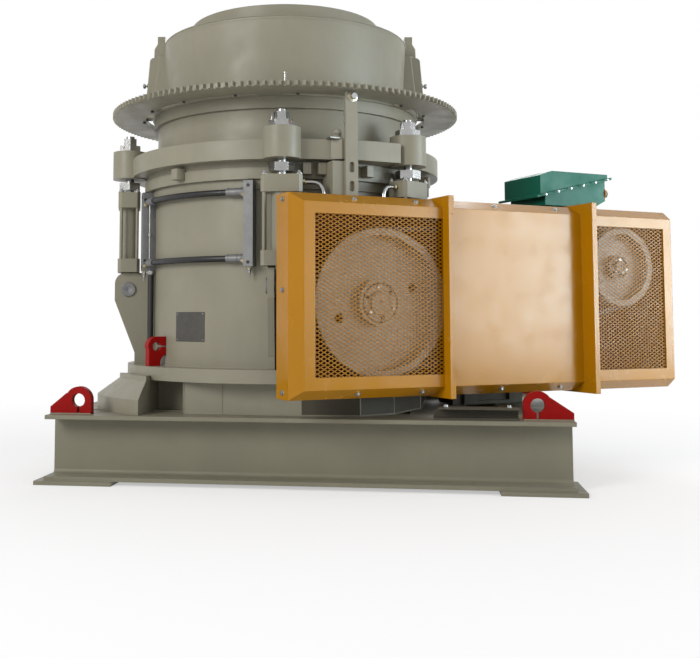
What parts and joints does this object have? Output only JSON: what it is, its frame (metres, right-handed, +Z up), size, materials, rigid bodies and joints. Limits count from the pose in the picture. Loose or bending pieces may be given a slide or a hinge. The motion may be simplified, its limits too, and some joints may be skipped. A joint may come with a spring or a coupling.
{
  "type": "cone crusher",
  "caption": "Hydraulic cone crusher on a welded beam base, with toothed adjusting ring, tramp release cylinders, motor, V belt drive and mesh guard.",
  "frame": {"origin": "crusher's axis at ground level, under the middle of the base's width", "axes": "+X along the front beam towards the motor, +Y to the back, +Z up"},
  "size_m": [3.2599, 2.2199, 2.497],
  "materials": {
    "base_paint": "satin",
    "body_paint": "satin",
    "red_paint": "satin",
    "guard_paint": "gloss",
    "guard_mesh": "satin",
    "motor_green": "gloss",
    "wheel_paint": "satin",
    "block_metal": "satin",
    "chrome": "polished",
    "wear_steel": "matte",
    "belt_rubber": "matte",
    "hose_rubber": "satin"
  },
  "bodies": {
    "frame": {"base_front_beam": "base_paint", "base_rear_beam": "base_paint", "base_cross_beam_1": "base_paint", "base_cross_beam_2": "base_paint", "base_cross_beam_3": "base_paint", "base_cross_beam_4": "base_paint", "base_cross_beam_5": "base_paint", "base_rail": "base_paint", "pedestal_skirt": "base_paint", "base_lug_front_left": "red_paint", "base_lug_front_right": "red_paint", "base_lug_rear_left": "red_paint", "base_lug_rear_right": "red_paint", "frame_lug_left": "red_paint", "frame_lug_right": "red_paint", "main_frame": "body_paint", "frame_flange": "body_paint", "frame_hub": "body_paint", "frame_foot_left": "body_paint", "frame_foot_right": "body_paint", "tramp_cylinder_1": "body_paint", "tramp_cylinder_2": "body_paint", "tramp_cylinder_3": "body_paint", "tramp_cylinder_4": "body_paint", "tramp_cylinder_5": "body_paint", "tramp_cylinder_6": "body_paint", "countershaft_housing": "body_paint", "manifold_front": "body_paint", "slotted_bracket": "body_paint", "manifold_side": "block_metal", "mantle": "wear_steel", "drive_belts": "belt_rubber", "hose_upper": "hose_rubber", "hose_lower": "hose_rubber", "motor_body": "motor_green", "terminal_box": "motor_green", "motor_stand": "base_paint", "guard_front": "guard_paint", "guard_back": "guard_paint", "guard_mesh_left": "guard_mesh", "guard_mesh_right": "guard_mesh"},
    "ring_and_rods": {"adjustment_ring": "body_paint", "cylinder_rod_1": "chrome", "cylinder_rod_2": "chrome", "cylinder_rod_3": "chrome", "cylinder_rod_4": "chrome", "cylinder_rod_5": "chrome", "cylinder_rod_6": "chrome"},
    "bowl_and_hopper": {"bowl": "body_paint", "drive_ring_gear": "body_paint", "hopper_cap": "body_paint", "hopper_rim": "body_paint", "bowl_liner": "wear_steel"},
    "countershaft_and_wheel": {"countershaft": "chrome", "crusher_sheave": "wheel_paint"},
    "motor_shaft_and_wheel": {"motor_shaft": "chrome", "motor_sheave": "wheel_paint"}
  },
  "joints": [
    {"name": "ring_lift", "type": "slide", "parent": "frame", "child": "ring_and_rods", "axis": [0, 0, 1], "range_m": [0, 0.06]},
    {"name": "bowl_turn", "type": "hinge", "parent": "ring_and_rods", "child": "bowl_and_hopper", "pos_m": [0, 0, 1.7], "axis": [0, 0, 1], "range_deg": [-180, 180]},
    {"name": "countershaft_spin", "type": "hinge", "parent": "frame", "child": "countershaft_and_wheel", "pos_m": [0.56171, -0.89893, 0.895], "axis": [0.5299, -0.848, 0], "continuous": true},
    {"name": "motor_spin", "type": "hinge", "parent": "frame", "child": "motor_shaft_and_wheel", "pos_m": [1.81004, -0.11889, 1.095], "axis": [0.5299, -0.848, 0], "continuous": true}
  ],
  "couplings": [
    {"joint": "motor_spin", "follows": "countershaft_spin", "ratio": 1.6857}
  ]
}
